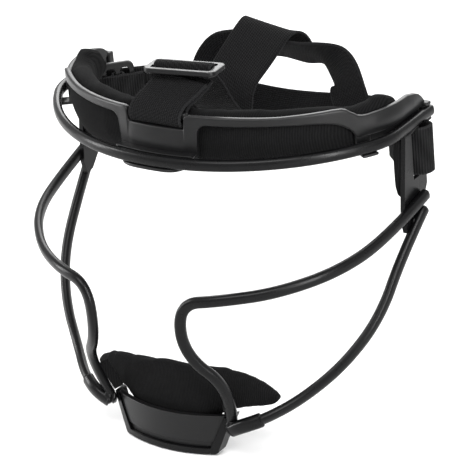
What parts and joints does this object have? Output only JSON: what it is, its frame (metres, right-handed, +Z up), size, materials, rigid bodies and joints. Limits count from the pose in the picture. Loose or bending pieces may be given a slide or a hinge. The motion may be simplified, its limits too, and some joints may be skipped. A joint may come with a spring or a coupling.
{
  "type": "softball face guard",
  "caption": "Softball face guard with an open steel cage, a vented moulded brow shell, fabric covered brow and chin pads, and a webbing harness with slide buckles.",
  "frame": {"origin": "middle of the head opening, level with the centre line of the brow bar", "axes": "+Z up, the guard faces -Y, +X towards the wearer's left"},
  "size_m": [0.2064, 0.1623, 0.1912],
  "materials": {
    "frame_coat": "satin",
    "shell_plastic": "matte",
    "buckle_plastic": "satin",
    "pad_fabric": "matte",
    "pad_foam": "matte",
    "webbing": "matte",
    "thread": "matte",
    "hook_tape": "matte"
  },
  "bodies": {
    "frame": {"brow_bar": "frame_coat", "brow_hook_tape": "hook_tape", "brow_pad_facing": "pad_fabric", "brow_pad_foam": "pad_foam", "brow_pad_lining": "pad_fabric", "brow_shell": "shell_plastic", "cheek_bar_left": "frame_coat", "cheek_bar_right": "frame_coat", "chin_hook_tape": "hook_tape", "chin_pad_facing": "pad_fabric", "chin_pad_foam": "pad_foam", "chin_pad_lining": "pad_fabric", "chin_plate": "shell_plastic", "chin_rim": "frame_coat", "chin_wing_left": "pad_fabric", "chin_wing_right": "pad_fabric", "front_loop": "webbing", "jaw_bar_left": "frame_coat", "jaw_bar_right": "frame_coat", "jaw_sleeve_left": "frame_coat", "jaw_sleeve_right": "frame_coat", "temple_loop_left": "webbing", "temple_loop_right": "webbing", "temple_pad_left": "pad_fabric", "temple_pad_right": "pad_fabric", "temple_plate_left": "frame_coat", "temple_plate_right": "frame_coat", "top_strap": "webbing"},
    "front_buckle": {"front_buckle": "buckle_plastic", "front_buckle_turn": "webbing"},
    "temple_buckle_left": {"temple_buckle_left": "buckle_plastic", "temple_buckle_turn_left": "webbing"},
    "temple_buckle_right": {"temple_buckle_right": "buckle_plastic", "temple_buckle_turn_right": "webbing"},
    "harness": {"crown_strap": "webbing", "nape_strap": "webbing", "rear_patch": "webbing", "rear_stitching": "thread"}
  },
  "joints": [
    {"name": "front_buckle_slide", "type": "slide", "parent": "frame", "child": "front_buckle", "axis": [0.052, 0.9184, 0.3922], "range_m": [-0.006, 0.006], "deforming": ["front_loop"]},
    {"name": "temple_buckle_slide_left", "type": "slide", "parent": "frame", "child": "temple_buckle_left", "axis": [-0.7314, 0.682, 0], "range_m": [0, 0.004]},
    {"name": "temple_buckle_slide_right", "type": "slide", "parent": "frame", "child": "temple_buckle_right", "axis": [0.7314, 0.682, 0], "range_m": [0, 0.004]},
    {"name": "harness_tilt", "type": "hinge", "parent": "frame", "child": "harness", "pos_m": [0, 0.0085, -0.0159], "axis": [1, 0, 0], "range_deg": [-8, 10], "deforming": ["top_strap"]}
  ]
}
